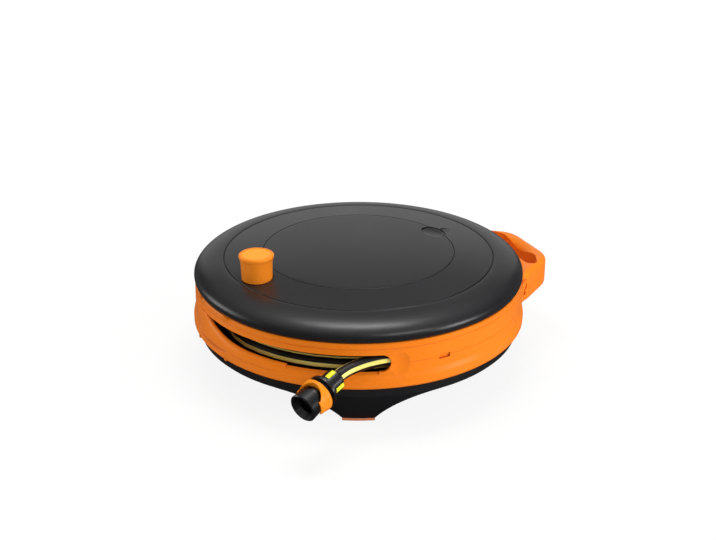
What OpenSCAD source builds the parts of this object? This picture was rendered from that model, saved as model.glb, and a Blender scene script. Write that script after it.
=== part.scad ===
// Flat garden hose reel: a footed base carries a round two-part housing that swivels on it,
// and a drum under a domed cranked lid spins inside the housing and winds the hose.
// Millimetres, +Z up, the floor at z = 0 and the handle towards +X.

/* [Feet and base] */
// Thickness of the pad under a foot
pad_t = 4; // [3:0.5:6]
// Width of a pad along the rim
pad_w = 46; // [40:1:50]
// Depth of a pad towards the middle
pad_depth = 40; // [32:1:46]
// Distance from the dish's edge in to the front of a pad
foot_inset = 35; // [28:1:43]
// Distance from the dish's edge in to where a foot's back meets the dish
foot_run = 111; // [99:1:113]
// Height of a foot above its pad
foot_h = 49.5; // [47:0.5:53]
// How far each flank of a foot flares out before it meets the dish
foot_flare = 92; // [84:1:95]
// Direction of the first foot, seen from above
foot_turn = -114; // [-125:1:-105]
// How far the dish's edge lies inside the housing's wall
base_inset = 5.5; // [4.5:0.5:10.5]
// Wall of the base
base_wall = 3; // [2.5:0.5:3.5]
// Height of the dish
dish_h = 18.5; // [17.5:0.5:20.5]
// How much wider the dish is at its top
dish_draft = 1.5; // [0:0.5:3]
// Chamfer round the dish's underside
dish_edge = 4; // [2:0.5:5]
// Distance from the dish's edge in to the track that the housing turns on
track_inset = 58; // [39:1:89]
// Width of the track's rib
track_w = 10; // [8:1:14]

/* [Swivel and water path] */
// Gap between the base and the turning housing
swivel_gap = 1.2; // [0.8:0.1:2]
// Outside radius of the spindle
spindle_r = 15; // [14:0.5:16]
// Radius of the water way through the spindle
water_r = 8; // [6:0.5:9]
// Radius of the spindle's foot flange
spindle_flange_r = 32; // [31:0.5:36]
// Thickness of the spindle's foot flange
spindle_flange_t = 4; // [3:0.5:5]
// Wall of the bush that the housing turns on
bush_wall = 4; // [3:0.5:5]
// Radial clearance of a turning fit
run_fit = 0.05; // [0.02:0.01:0.1]
// Radial clearance of parts that are put together and stay still
seat_fit = 0.1; // [0.05:0.01:0.2]
// Gap along the axis between parts that turn against each other
face_gap = 0.3; // [0.2:0.05:0.5]
// Thickness of a retaining clip
clip_t = 1.5; // [1.2:0.1:2]
// Thickness of the thrust washer
washer_t = 1.5; // [1:0.1:2.5]
// Height of the rotary coupling
coupling_h = 30; // [28:1:34]
// Outside radius of the rotary coupling
coupling_r = 23; // [22:0.5:26]
// Height of the inlet pipe's centre above the floor
inlet_z = 33.5; // [28:0.5:37]
// Outside radius of the inlet pipe
pipe_r = 10; // [9:0.5:11]
// Radius of the tap nipple's nose
nipple_r = 8.5; // [8:0.1:9]
// How far the tap nipple reaches past the dish's edge
nipple_out = 4; // [-1:1:7]

/* [Housing] */
// Outside radius of the housing at its seam
shell_r = 244.5; // [243.5:0.5:247]
// How far the housing's lower rim stands out from its wall
rim_out = 3.8; // [3.5:0.1:7.5]
// Wall of the housing
shell_wall = 4; // [3.5:0.1:4.5]
// Thickness of the housing's floor
floor_t = 3; // [2.5:0.5:4]
// Height of the housing
housing_h = 66.5; // [65:0.5:72]
// Height of the seam between the shells above the housing's underside
seam_h = 35.3; // [33:0.1:38]
// Height of the lower rim's band
rim_band_h = 20; // [16:1:22]
// Width of the grooves round the housing
line_w = 1.2; // [0.8:0.1:2]
// Depth of the grooves round the housing
line_d = 0.8; // [0.4:0.1:1.2]
// Width of a clip pocket at the seam
clip_pocket_w = 17; // [12:1:22]
// Height of a clip pocket
clip_pocket_h = 6.5; // [4:0.5:8]
// Depth of a clip pocket
clip_pocket_d = 2.8; // [1.5:0.1:3.2]

/* [Hose window] */
// Direction of the window's right end, seen from above
window_right = -104; // [-108:1:-100]
// Direction of the window's pointed left end
window_left = -176; // [-178:1:-170]
// Height of the window
window_h = 25; // [22:0.5:26]
// Height of the window's lower edge above the housing's underside
window_sill = 24.8; // [23.5:0.1:26]
// How far the lower lip is bevelled down on the outside
lip_drop = 7; // [4:0.5:8]

/* [Carrying handle] */
// How far the handle reaches out from the housing
handle_reach = 57; // [50.5:0.5:67.5]
// Half the length of the straight part of the grip
handle_half = 32.5; // [28:0.5:38]
// Radius of the handle's outer corners, seen from above
handle_corner = 43; // [36:1:46]
// Angle by which the handle's flanks spread towards the housing
handle_spread = 36; // [32:1:38]
// Thickness of the grip, from its outer face to the hand hole
grip_w = 21; // [18:0.5:24]
// Half the length of the hand hole
hand_half = 74; // [70:0.5:76]
// Rounding of the handle's edges
handle_edge = 9; // [6:0.5:10]
// How far the handle's top lies below the housing's top
handle_drop = 5; // [4:0.5:7]
// Height of the handle
handle_h = 49; // [46:0.5:51]

/* [Drum and lid] */
// Gap between the housing's floor and the drum
drum_gap = 3; // [2.5:0.1:4]
// Thickness of the drum's flange
flange_t = 3; // [2.5:0.1:4]
// Distance from the hub cover's edge in to the drum's hub
hub_inset = 35.3; // [30.5:0.1:42]
// Wall of the hub
hub_wall = 3; // [2.5:0.1:4]
// Wall of the lid
lid_t = 3; // [2.5:0.1:3.5]
// Gap between the housing's top and the lid
lid_gap = 0.3; // [0.2:0.1:1]
// How far the lid's edge stands out past the housing
lid_over = 0.5; // [-0.5:0.1:3.5]
// Width of the lid's rounded edge, in to the line where the sloping top begins
lid_edge = 45; // [39:1:55]
// Height of that line above the lid's lower edge
crease_h = 28.6; // [27:0.2:32]
// Height of the lid's widest place above its lower edge
waist_h = 7; // [5:0.5:9]
// How far the lid tucks in below its widest place
tuck = 4.5; // [3.5:0.5:5]
// Width of the lid's sloping top, from that line in to the hub cover
slope_w = 57.7; // [52:0.1:65]
// Height of the hub cover's edge above the lid's lower edge
cover_h = 33.9; // [33:0.1:36]
// How much the hub cover rises towards its middle
cover_crown = 2.1; // [0:0.1:4]
// Thickness of the hub cover at its edge
cover_t = 3.7; // [3.4:0.1:5]
// Gap round the hub cover
cover_gap = 0.6; // [0.4:0.1:1]
// Direction of the finger dish, seen from above
dish_turn = 7; // [-10:1:20]
// Distance from the hub cover's edge in to the finger dish
dish_inset = 9.3; // [4.5:0.1:14]
// Radius of the balls that hollow the finger dish
dish_ball = 45; // [40:1:52]
// Depth of the finger dish
dish_depth = 2.2; // [1.5:0.1:2.6]
// Distance between the balls that hollow the finger dish
dish_step = 8; // [5:0.5:10]

/* [Crank knob] */
// Direction of the knob, seen from above
knob_turn = -170; // [-180:0.5:-160]
// How far the knob stands out from the middle of the sloping top
knob_shift = 2.5; // [-1.5:0.05:2.5]
// How far the knob's foot is sunk into the sloping top
knob_sink = 1.27; // [0.8:0.01:1.8]
// Radius of the knob at its foot
knob_r = 22; // [20:0.5:23]
// Radius of the knob's top lip
knob_lip_r = 25; // [23.5:0.5:27]
// Height of the knob
knob_h = 38; // [35:1:42]
// Radius of the knob's axle
axle_r = 6; // [5:0.5:7]

/* [Hose and its end] */
// Outside diameter of the hose
hose_d = 17.5; // [16.5:0.1:18]
// Gap between the turns of the outer layer
turn_gap = 0.5; // [0.5:0.1:2]
// Gap between the turning winding and the free stretch beside it
free_gap = 1.5; // [1.2:0.1:2.5]
// Gap between the free stretch and the housing's wall
wall_gap = 1.2; // [1:0.1:2]
// Direction that the hose connector points to, seen from above
connector_turn = -153; // [-156:1:-150]
// How far the connector dips below the horizontal
connector_dip = 12.5; // [8:0.5:16]
// Length of the hose connector
connector_l = 70; // [66:1:76]
// Radius of the connector's mouth
mouth_r = 20; // [18:0.5:21]
// Radius of the socket for the fitting that is plugged in
socket_r = 8.6; // [8.4:0.1:9]
// Radius of the connector's nut
nut_r = 15; // [14:0.5:16]
// Radius of the release collar
collar_r = 23.5; // [22:0.5:24]
// How far the release collar slides back
collar_travel = 5; // [3:0.5:6]

/* [Fasteners] */
// Radius of a screw's shank
screw_r = 2; // [1.5:0.1:2.2]
// Radius of a screw's head
head_r = 4; // [3.5:0.1:4.5]
// Height of a screw's head
head_h = 2.4; // [2:0.1:2.8]

/* [Hidden] */

$fn = 96;

orange = [1, 0.53, 0.16];
near_black = [0.13, 0.13, 0.14];
dark_grey = [0.25, 0.25, 0.26];
pale_plastic = [0.82, 0.82, 0.78];
zinc = [0.72, 0.73, 0.75];
brass = [0.78, 0.62, 0.32];
rubber = [0.08, 0.08, 0.08];
yellow = [0.93, 0.9, 0.15];

// Radii from the housing's wall inwards and outwards
rim_r = shell_r + rim_out;
base_r = shell_r - base_inset;
foot_reach = base_r - foot_inset;
foot_back = base_r - foot_run;
track_r = base_r - track_inset;
nipple_tip = base_r + nipple_out;
handle_tip = shell_r + handle_reach;
lid_r = shell_r + lid_over;
crease_r = lid_r - lid_edge;
cover_r = crease_r - slope_w;
hub_r = cover_r - hub_inset;
dish_reach = cover_r - dish_inset;
knob_reach = (cover_r + crease_r) / 2 + knob_shift;

// The drum's axis stands off the middle, because the handle reaches out on one side.
axis_x = -(handle_tip - rim_r) / 2;

// Heights above the floor, from the feet up
dish_z = pad_t + foot_h;
base_floor = dish_z + base_wall;
base_top = dish_z + dish_h;
housing_z = base_top + swivel_gap;
housing_floor = housing_z + floor_t;
housing_top = housing_z + housing_h;
seam_z = housing_z + seam_h;
sill_z = housing_z + window_sill;
head_z = sill_z + window_h;
flange_z = housing_floor + drum_gap;
flange_top = flange_z + flange_t;
lid_z = housing_top + lid_gap;
waist_z = lid_z + waist_h;
crease_z = lid_z + crease_h;
cover_z = lid_z + cover_h;
seat_z = cover_z - cover_t;
hub_top = seat_z - lid_t;

// Feet
foot_count = 4;
foot_rise = foot_h + 0.5;
foot_arc = (pow(foot_flare, 2) + pow(foot_rise, 2)) / (2 * foot_rise);
foot_mid = foot_reach - pad_depth / 2;
foot_boss_h = 12;
rib_spread = 12;
pad_seat = 0.9;
glide_t = 3.5;
glide_top = housing_z - face_gap;
track_z = glide_top - glide_t;

// Spindle, clips, washer and coupling, stacked along the axis
bush_r = spindle_r + bush_wall;
bush_drop = 3;
bush_rise = 4;
bush_flange_t = 2;
bush_flange_w = 5;
boss_wall = 8;
bush_z = housing_z - bush_drop;
bush_seat = housing_floor + bush_rise;
low_clip_z = bush_seat + bush_flange_t + face_gap;
washer_z = low_clip_z + clip_t;
coupling_z = washer_z + washer_t + face_gap;
coupling_top = coupling_z + coupling_h;
high_clip_z = coupling_top + face_gap;
spindle_top = high_clip_z + 2 * clip_t;
well_floor = spindle_top + 1.5;
well_floor_t = 3;
clip_w = 5;
groove_d = 1.5;
chamber_w = 3.5;
chamber_h = 8;
water_z = coupling_z + coupling_h / 2;
seal_r = 1.3;
seal_offset = 8;
coupling_flange_r = 37;
coupling_flange_t = 4;
coupling_bolt_r = 31;
spindle_bolt_r = 25;
tail_r = 11;
tail_z = inlet_z + 8;
elbow_r = 16;
elbow_arm = 34;
elbow_socket = 12;
boss_r = 5;

// The inlet lies midway between two feet.
inlet_turn = foot_turn + 2.5 * 360 / foot_count;
nipple_root = nipple_tip - 46;
nipple_socket = 8;
nipple_hex_r = 13.5;
nipple_hex_l = 14;
pipe_bore = 6.5;
nipple_bore = 5.5;
bracket_at = nipple_root - 12;

// Housing
shell_in_r = shell_r - shell_wall;
rim_in_r = rim_r - shell_wall;
rim_z = housing_z + rim_band_h;
inner_lip_r = lid_r - tuck - lid_t - 4;
inner_lip_t = 3;
inner_lip_rise = 6;
inner_ledge_z = head_z + 4.5;
top_line_z = housing_top - 8.5;
tip_run = 95;
tip_arc = (pow(tip_run, 2) + pow(window_h, 2)) / (2 * window_h);
slot_left = window_left + tip_run / shell_r * 180 / PI;
hollow_r = 48;
hollow_depth = 2.8;
funnel_r = 36;
funnel_depth = 8;
funnel_half = 75;
funnel_turn = window_left + 4;

// Handle
handle_z1 = housing_top - handle_drop;
handle_z0 = handle_z1 - handle_h;
handle_root = shell_r - 29.5;
grip_center = handle_tip - handle_corner;
root_half = handle_half + (grip_center - handle_root) * tan(handle_spread);
hand_outer = handle_tip - grip_w;
hand_inner = max(shell_r, lid_r) + 6.5;
hand_round = 10;
hand_taper = 18;
hand_ends = [[hand_inner + hand_round, hand_half - hand_round],
             [hand_outer - hand_round, hand_half - hand_round - hand_taper]];
roll_r = 12;
roll_half = hand_ends[1][1] + 4;
roll_arc = (pow(roll_half, 2) + pow(roll_r, 2)) / (2 * roll_r);
root_fillet = 100;
flank_c = [sin(handle_spread), -cos(handle_spread)] * [grip_center, -handle_half] + handle_corner;
flank_t = sqrt(pow(shell_r - 0.4 + root_fillet, 2) - pow(flank_c + root_fillet, 2));
fillet_steps = 10;
flank_pocket_at = 121;
flank_pocket = [[-7.5, -8], [0, -8], [7.5, 2], [7.5, 8], [2, 8], [-7.5, -1]];
handle_screw_at = on_flank(flank_c - 13, 145);

// Hose: the outer layer of turns, the free stretch beside it and the core inside
free_r = shell_in_r - wall_gap - hose_d / 2;
wind_out_r = free_r - hose_d / 2 - free_gap;
wind_r = wind_out_r - hose_d / 2;
wind_rings = 24;
wind_sides = 6;
wind_z0 = flange_top + 0.3 + hose_d / 2;
wind_z1 = crease_z - lid_t - 2.6 - hose_d / 2;
wind_pitch = hose_d + turn_gap;
wind_steps = floor((wind_z1 - wind_z0) / wind_pitch * wind_rings);
wind_start = 200;
core_r = wind_r * cos(180 / wind_rings) - hose_d / 2 - 0.3;
core_gap = 0.3;
riser_l = 38;
riser_h = hose_d - 2.5;
lead_turn = 100;
lead_start = 48;
lead_bore = 6.4;

// The guide where the free stretch begins, and the stretch's route from there to the connector:
// along the housing's wall, out through the window and down to the connector
guide_turn = -92;
guide_w = 2.6;
function by_wall(turn, out, rise) =
    [(shell_r + out) * cos(turn), (shell_r + out) * sin(turn), seam_z + rise];
hose_end = by_wall(-120.1, 25.6, -5.1);
hose_route = [by_wall(-100, -14, 2), by_wall(-107.7, -10.8, 1.7), by_wall(-114.7, 1.6, 0)];
hose_sides = 12;
nut_wall = 3;
tail_gap = 12;
nut_l = 25;
rib_at = 26;
collar_at = 37;
collar_l = 20;
// Direction of the grip strips and of the collar's scallops, round the connector
grip_turn = -7;
strip_at = 4;
strip_l = 15;
strip_w = 6.4;
scallop_r = 20;
scallop_at = 5.5;
flare_l = 8.5;

// Lid and knob
rise_steps = 12;
knob_z = slope_z(knob_reach) - knob_sink;
pocket_gap = 1.6;
knob_boss_w = 3;
knob_boss_z = wind_z1 + hose_d / 2 + 1;
axle_flange_t = 2;
knob_hollow = 9;
axle_top = knob_z + knob_h - knob_hollow;
axle_thread = 14;
cap_t = 2.2;
arrow_l = 15;

// Helpers

// Places children at a direction, a distance from the axis and a height
module at(turn, reach, z)
    rotate([0, 0, turn]) translate([reach, 0, z]) children();

// Repeats children round the axis
module around(count, first = 0)
    for (i = [0 : count - 1])
        rotate([0, 0, first + i * 360 / count]) children();

// Ring between two radii and two heights
module ring(r_in, r_out, z0, z1)
    translate([0, 0, z0]) difference() {
        cylinder(r = r_out, h = z1 - z0);
        translate([0, 0, -1]) cylinder(r = r_in, h = z1 - z0 + 2);
    }

// Slice of a ring that starts at one direction and spans an angle
module ring_slice(r_in, r_out, z0, z1, turn, span)
    rotate([0, 0, turn]) rotate_extrude(angle = span)
        translate([r_in, z0]) square([r_out - r_in, z1 - z0]);

// Screw with its head below z = 0 and its shank above, with a hexagon recess
module screw(length)
    difference() {
        rotate_extrude() polygon([
            [0, -head_h], [head_r, -head_h], [head_r, 0], [screw_r, 0], [screw_r, length], [0, length]]);
        translate([0, 0, -head_h - 1]) cylinder(r = head_r * 0.45, h = head_h * 0.5 + 1, $fn = 6);
    }

// Hole for a screw's shank
module screw_hole(length)
    cylinder(r = screw_r + seat_fit, h = length);

// Puts the children on the drum's axis
module on_axis() translate([axis_x, 0, 0]) children();

// Points of one ring of a tube: its centre, its heading and its radius
function ring_points(c, heading, r, sides) =
    let (side = cross(heading, [0, 0, 1]), s = side / norm(side), u = cross(s, heading))
    [for (k = [0 : sides - 1]) c + r * (cos(k * 360 / sides) * s + sin(k * 360 / sides) * u)];

// Tube along centres with a heading at each
module tube(centers, headings, r, sides) {
    n = len(centers);
    points = [for (i = [0 : n - 1]) each ring_points(centers[i], headings[i], r, sides)];
    walls = [for (i = [0 : n - 2], k = [0 : sides - 1])
        let (a = i * sides + k, b = i * sides + (k + 1) % sides)
        each [[a, b, b + sides], [a, b + sides, a + sides]]];
    start = [for (k = [1 : sides - 2]) [0, k + 1, k]];
    last = (n - 1) * sides;
    end = [for (k = [1 : sides - 2]) [last, last + k, last + k + 1]];
    polyhedron(points, concat(walls, start, end), convexity = 10);
}

// Unit vector of a direction, with a rise per unit of run
function level(turn) = [cos(turn), sin(turn), 0];
function unit(v) = v / norm(v);

// Feet and base

// The dish, full size or drawn in by its wall
module dish(inset, top)
    rotate_extrude() polygon([
        [0, dish_z + inset],
        [base_r - dish_edge, dish_z + inset],
        [base_r - inset, dish_z + dish_edge],
        [base_r + dish_draft - inset, top],
        [0, top]]);

// One foot towards +X: a flared front outline cut to a slanting front and back
module foot(inset, half, top)
    intersection() {
        rotate([90, 0, 90]) linear_extrude(base_r + dish_draft) difference() {
            translate([-half, pad_t + inset]) square([2 * half, top - pad_t - inset]);
            for (side = [-1, 1])
                translate([side * (pad_w / 2 + foot_flare), pad_t + foot_rise - foot_arc])
                    circle(r = foot_arc + inset);
        }
        rotate_extrude() polygon([
            [foot_reach - pad_depth + inset * 1.4, pad_t + inset],
            [foot_reach - inset * 1.4, pad_t + inset],
            [base_r - dish_edge / 2 - inset * 1.4, dish_z + dish_edge / 2],
            [base_r - dish_edge / 2 - inset * 1.4, top],
            [foot_back + inset * 1.4, top],
            [foot_back + inset * 1.4, dish_z]]);
    }

module base_shell()
    color(near_black) difference() {
        union() {
            difference() {
                union() {
                    dish(0, base_top);
                    around(foot_count, foot_turn)
                        foot(0, pad_w / 2 + foot_flare, base_floor - 0.5);
                }
                dish(base_wall, base_top + 1);
                around(foot_count, foot_turn)
                    foot(base_wall, (pad_w + foot_flare) / 2 - base_wall, base_floor + 1);
            }
            around(foot_count, foot_turn)
                translate([foot_mid, 0, pad_t]) cylinder(r = boss_r + 1, h = foot_boss_h);
            ring(track_r - track_w / 2, track_r + track_w / 2, base_floor - 1, track_z);
            around(4, 45)
                translate([spindle_bolt_r, 0, dish_z - 10]) cylinder(r = boss_r, h = 11);
            around(foot_count, inlet_turn) for (side = [-1, 1])
                rotate([0, 0, side * rib_spread])
                    translate([spindle_flange_r + 4, -base_wall / 2, base_floor - 1])
                        cube([track_r - track_w / 2 - spindle_flange_r - 3, base_wall, 5]);
            at(inlet_turn, bracket_at, 0)
                translate([-5, -pipe_r - 5, inlet_z - pipe_r - 3])
                    cube([10, 2 * pipe_r + 10, dish_z - inlet_z + pipe_r + 4]);
        }
        around(foot_count, foot_turn)
            translate([foot_mid, 0, pad_t - 1]) screw_hole(foot_boss_h + 1 - 2);
        translate([0, 0, dish_z - 1]) cylinder(r = tail_r + seat_fit, h = base_wall + 2);
        around(4, 45) translate([spindle_bolt_r, 0, dish_z - 8]) screw_hole(12);
        at(inlet_turn, bracket_at, inlet_z)
            rotate([0, 90, 0]) translate([0, 0, -6]) cylinder(r = pipe_r + seat_fit, h = 12);
    }

module foot_pads()
    color([0.85, 0.42, 0.16]) around(foot_count, foot_turn) difference() {
        intersection() {
            ring(foot_reach - pad_depth, foot_reach, 0, pad_t);
            translate([0, -pad_w / 2, 0]) cube([base_r, pad_w, pad_t]);
        }
        translate([foot_mid, 0, -1]) cylinder(r = head_r + 0.5, h = 1 + pad_seat + head_h);
        translate([foot_mid, 0, -1]) screw_hole(pad_t + 2);
    }

module pad_screws()
    color(zinc) around(foot_count, foot_turn)
        translate([foot_mid, 0, pad_seat + head_h]) screw(foot_boss_h - 2);

module glide_ring()
    color(pale_plastic) difference() {
        ring(track_r - track_w / 2 - 2, track_r + track_w / 2 + 2, track_z - 4, glide_top);
        ring(track_r - track_w / 2 - seat_fit, track_r + track_w / 2 + seat_fit, track_z - 5, track_z);
    }

// Spindle and inlet

module clip_groove(z)
    ring(spindle_r - groove_d, spindle_r + 1, z, z + clip_t);

module seal_groove(z)
    ring(spindle_r - 2 * seal_r - seat_fit, spindle_r + 1, z - seal_r - seat_fit, z + seal_r + seat_fit);

module spindle()
    color(pale_plastic) difference() {
        union() {
            translate([0, 0, tail_z]) cylinder(r = tail_r, h = base_floor - tail_z + 1);
            translate([0, 0, base_floor]) cylinder(r = spindle_flange_r, h = spindle_flange_t);
            translate([0, 0, base_floor]) cylinder(r = spindle_r, h = spindle_top - base_floor);
        }
        translate([0, 0, tail_z - 1]) cylinder(r = water_r, h = water_z + 5 - tail_z);
        around(4) translate([0, 0, water_z]) rotate([0, 90, 0]) cylinder(r = 3, h = spindle_r + 1);
        around(4, 45) translate([spindle_bolt_r, 0, base_floor - 1]) screw_hole(spindle_flange_t + 2);
        clip_groove(low_clip_z);
        clip_groove(high_clip_z);
        for (side = [-1, 1]) seal_groove(water_z + side * seal_offset);
    }

module spindle_screws()
    color(zinc) around(4, 45)
        translate([spindle_bolt_r, 0, base_floor + spindle_flange_t])
            mirror([0, 0, 1]) screw(spindle_flange_t + 8);

module spindle_seals()
    color(rubber) for (side = [-1, 1])
        translate([0, 0, water_z + side * seal_offset])
            rotate_extrude() translate([spindle_r - seal_r - seat_fit, 0]) circle(r = seal_r - seat_fit);

module spindle_clips()
    color(zinc) for (z = [low_clip_z, high_clip_z]) difference() {
        ring(spindle_r - groove_d + seat_fit, spindle_r + clip_w, z, z + clip_t);
        translate([0, -4, z - 1]) cube([spindle_r + clip_w + 1, 8, clip_t + 2]);
    }

module thrust_washer()
    color(pale_plastic) ring(spindle_r + seat_fit, spindle_r + clip_w + 2, washer_z, washer_z + washer_t);

module inlet_elbow()
    color(near_black) rotate([0, 0, inlet_turn]) difference() {
        union() {
            translate([0, 0, inlet_z - 14]) cylinder(r = elbow_r, h = dish_z - inlet_z + 14);
            translate([0, 0, inlet_z]) rotate([0, 90, 0]) cylinder(r = pipe_r + 3, h = elbow_arm);
        }
        translate([0, 0, tail_z]) cylinder(r = tail_r + seat_fit, h = dish_z - tail_z + 1);
        translate([0, 0, inlet_z]) cylinder(r = water_r, h = tail_z - inlet_z + 1);
        translate([0, 0, inlet_z]) rotate([0, 90, 0]) cylinder(r = pipe_bore, h = elbow_arm + 1);
        translate([elbow_arm - elbow_socket, 0, inlet_z]) rotate([0, 90, 0])
            cylinder(r = pipe_r + seat_fit, h = elbow_socket + 1);
        around(4, 45 - inlet_turn)
            translate([spindle_bolt_r, 0, dish_z - 11]) cylinder(r = boss_r + 0.5, h = 12);
    }

module inlet_pipe()
    color(near_black) at(inlet_turn, elbow_arm - elbow_socket, inlet_z)
        rotate([0, 90, 0]) difference() {
            cylinder(r = pipe_r, h = nipple_root + nipple_socket - elbow_arm + elbow_socket);
            translate([0, 0, -1]) cylinder(r = pipe_bore, h = nipple_tip);
        }

// The nipple's outline along its own axis, from its socket to its nose
module tap_nipple()
    color(near_black) at(inlet_turn, nipple_root, inlet_z) rotate([0, 90, 0]) difference() {
        union() {
            cylinder(r = nipple_hex_r, h = nipple_hex_l, $fn = 6);
            cylinder(r = nipple_r + 0.6, h = 30);
            translate([0, 0, 21]) cylinder(r = 11.2, h = 4);
            cylinder(r = nipple_r, h = nipple_tip - nipple_root);
        }
        translate([0, 0, -1]) cylinder(r = pipe_r + seat_fit, h = nipple_socket + 1);
        translate([0, 0, -1]) cylinder(r = nipple_bore, h = nipple_tip);
        ring(nipple_r - 1.6, nipple_r + 2, 32, 34.6);
    }

module nipple_seal()
    color(rubber) at(inlet_turn, nipple_root + 33.3, inlet_z) rotate([0, 90, 0])
        rotate_extrude() translate([nipple_r - 0.4, 0]) circle(r = 1.15);

// Housing

// Profile of the housing's wall below and above the seam
module lower_wall()
    rotate_extrude() polygon([
        [bush_r, housing_z], [rim_r - 2.5, housing_z], [rim_r, housing_z + 3],
        [rim_r, rim_z - 9], [rim_r - 0.8, rim_z - 5], [shell_r + 0.8, rim_z],
        [shell_r + 0.3, rim_z + 1.5], [shell_r, seam_z - line_w], [shell_r - line_d, seam_z],
        [shell_in_r, seam_z], [shell_in_r, rim_z], [rim_in_r, rim_z - 6], [rim_in_r, housing_floor],
        [bush_r, housing_floor]]);

module upper_wall()
    rotate_extrude() polygon([
        [shell_in_r, seam_z], [shell_r - line_d, seam_z], [shell_r, seam_z + line_w],
        [shell_r - 0.4, top_line_z - line_w], [shell_r - 0.4 - line_d, top_line_z],
        [shell_r - 0.5, top_line_z + line_w], [shell_r - 0.5, housing_top - 1.5],
        [shell_r - 1.8, housing_top], [shell_in_r, housing_top], [shell_in_r, inner_ledge_z + 3],
        [inner_lip_r, inner_ledge_z + 3], [inner_lip_r, lid_z + inner_lip_rise],
        [inner_lip_r - inner_lip_t, lid_z + inner_lip_rise], [inner_lip_r - inner_lip_t, inner_ledge_z],
        [shell_in_r, inner_ledge_z]]);

// Point at a distance from the axis across a flank and at a distance along it, on the -Y side
function on_flank(out, along) =
    out * [sin(handle_spread), -cos(handle_spread)] + along * [cos(handle_spread), sin(handle_spread)];

// Disc for the handle's corners: chamfered at the seam and rounded away from it
module puck(r, round_z)
    let (way = sign(round_z - seam_z))
    rotate_extrude($fn = 32) polygon(concat(
        [[0, seam_z], [r - line_d, seam_z], [r, seam_z + way * line_w]],
        [for (i = [0 : 5])
            [r - handle_edge * (1 - cos(i * 18)), round_z - way * handle_edge * (1 - sin(i * 18))]],
        [[0, round_z]]));

// The hand hole from above: straight along the housing and the grip, drawn in towards the grip
module hand_hole_plan() {
    run = hand_ends[1] - hand_ends[0];
    side = hand_round * [-run[1], run[0]] / norm(run);
    half = [[hand_inner, 0], [hand_inner, hand_ends[0][1]], hand_ends[0], hand_ends[0] + side,
            hand_ends[1] + side, hand_ends[1], [hand_outer, hand_ends[1][1]], [hand_outer, 0]];
    for (flip = [0, 1]) mirror([0, flip]) {
        polygon(half);
        for (end = hand_ends) translate(end) circle(r = hand_round);
    }
}

// What is cut from the grip's inner edge so that it rolls into the hand hole
module grip_roll(round_z) {
    way = sign(round_z - seam_z);
    intersection() {
        translate([hand_outer + roll_r - roll_arc, 0, round_z - way * roll_r])
            mirror([0, 0, way > 0 ? 0 : 1]) rotate_extrude() difference() {
                square([roll_arc, roll_r + 1]);
                translate([roll_arc, 0]) circle(r = roll_r);
            }
        translate([hand_outer - 1, -roll_half, handle_z0 - 2]) cube([roll_r + 2, 2 * roll_half, handle_h + 4]);
    }
}

// Region between a flank, the housing and the fillet that joins them
module root_web() {
    n = [sin(handle_spread), -cos(handle_spread)];
    m = [-cos(handle_spread), -sin(handle_spread)];
    center = n * (flank_c + root_fillet) - m * flank_t;
    a0 = atan2(-n[1], -n[0]);
    a1 = atan2(-center[1], -center[0]);
    polygon(concat(
        [for (i = [0 : fillet_steps])
            center + root_fillet * [cos(a0 + (a1 - a0) * i / fillet_steps),
                                    sin(a0 + (a1 - a0) * i / fillet_steps)]],
        [center * (shell_in_r / norm(center)) * 1.001, (n * flank_c - m * flank_t) * 0.96]));
}

// One half of the handle, from the seam to its rounded top or underside
module handle_half_block(round_z) {
    low = min(seam_z, round_z);
    high = max(seam_z, round_z);
    trim = handle_edge * sign(round_z - seam_z);
    difference() {
        union() {
            hull() for (side = [-1, 1]) {
                translate([grip_center, side * handle_half]) puck(handle_corner, round_z);
                translate([handle_root, side * root_half]) puck(handle_corner, round_z);
            }
            for (flip = [0, 1]) mirror([0, flip, 0])
                translate([0, 0, min(seam_z, round_z - trim)])
                    linear_extrude(high - low - handle_edge) root_web();
        }
        translate([0, 0, low - 1]) cylinder(r = shell_in_r + 0.5, h = high - low + 2);
        translate([0, 0, low - 1]) linear_extrude(high - low + 2) hand_hole_plan();
        grip_roll(round_z);
    }
}

// The hose window: a slot with a round right end, a left end that tapers along an arc, a bevelled
// sill, a wide scoop across the tapered end and a shallow hollow at the right end. Each cut is a
// little lower or higher than its neighbour, so that no two of their faces lie in one plane.
module window_cut() {
    mid_z = (sill_z + head_z) / 2;
    slot_r = window_h / 2;
    step = 0.15;
    slot_right = window_right - slot_r / shell_r * 180 / PI;
    tip_turn = (slot_left + window_left) / 2;
    deep = rim_r - shell_in_r + 16;
    ring_slice(shell_in_r - 12, rim_r + 4, sill_z, head_z, slot_left, slot_right - slot_left);
    at(slot_right + 0.3, shell_in_r - 12, mid_z) rotate([0, 90, 0]) cylinder(r = slot_r, h = deep);
    at(tip_turn, shell_in_r - 20, 0) rotate([90, 0, 90]) linear_extrude(deep + 8) intersection() {
        translate([tip_run / 2, sill_z + step + tip_arc]) circle(r = tip_arc);
        translate([-tip_run / 2 - 2, sill_z]) square([tip_run + 8, window_h - step]);
    }
    rotate([0, 0, slot_left - 2]) rotate_extrude(angle = slot_right - slot_left + 1.4)
        polygon([[shell_in_r - 1, sill_z + 3], [shell_in_r - 1, sill_z - step], [rim_r + 3, sill_z - lip_drop - 1],
                 [rim_r + 3, sill_z + 3]]);
    intersection() {
        at(funnel_turn, shell_r - funnel_depth + funnel_r, seam_z + 0.5)
            rotate([90, 0, 0]) cylinder(r = funnel_r, h = 2 * funnel_half, center = true);
        cylinder(r = rim_r + 40, h = head_z - 2 * step);
    }
    at(window_right + 3, shell_r + hollow_r - hollow_depth, mid_z) sphere(r = hollow_r);
}

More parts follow.
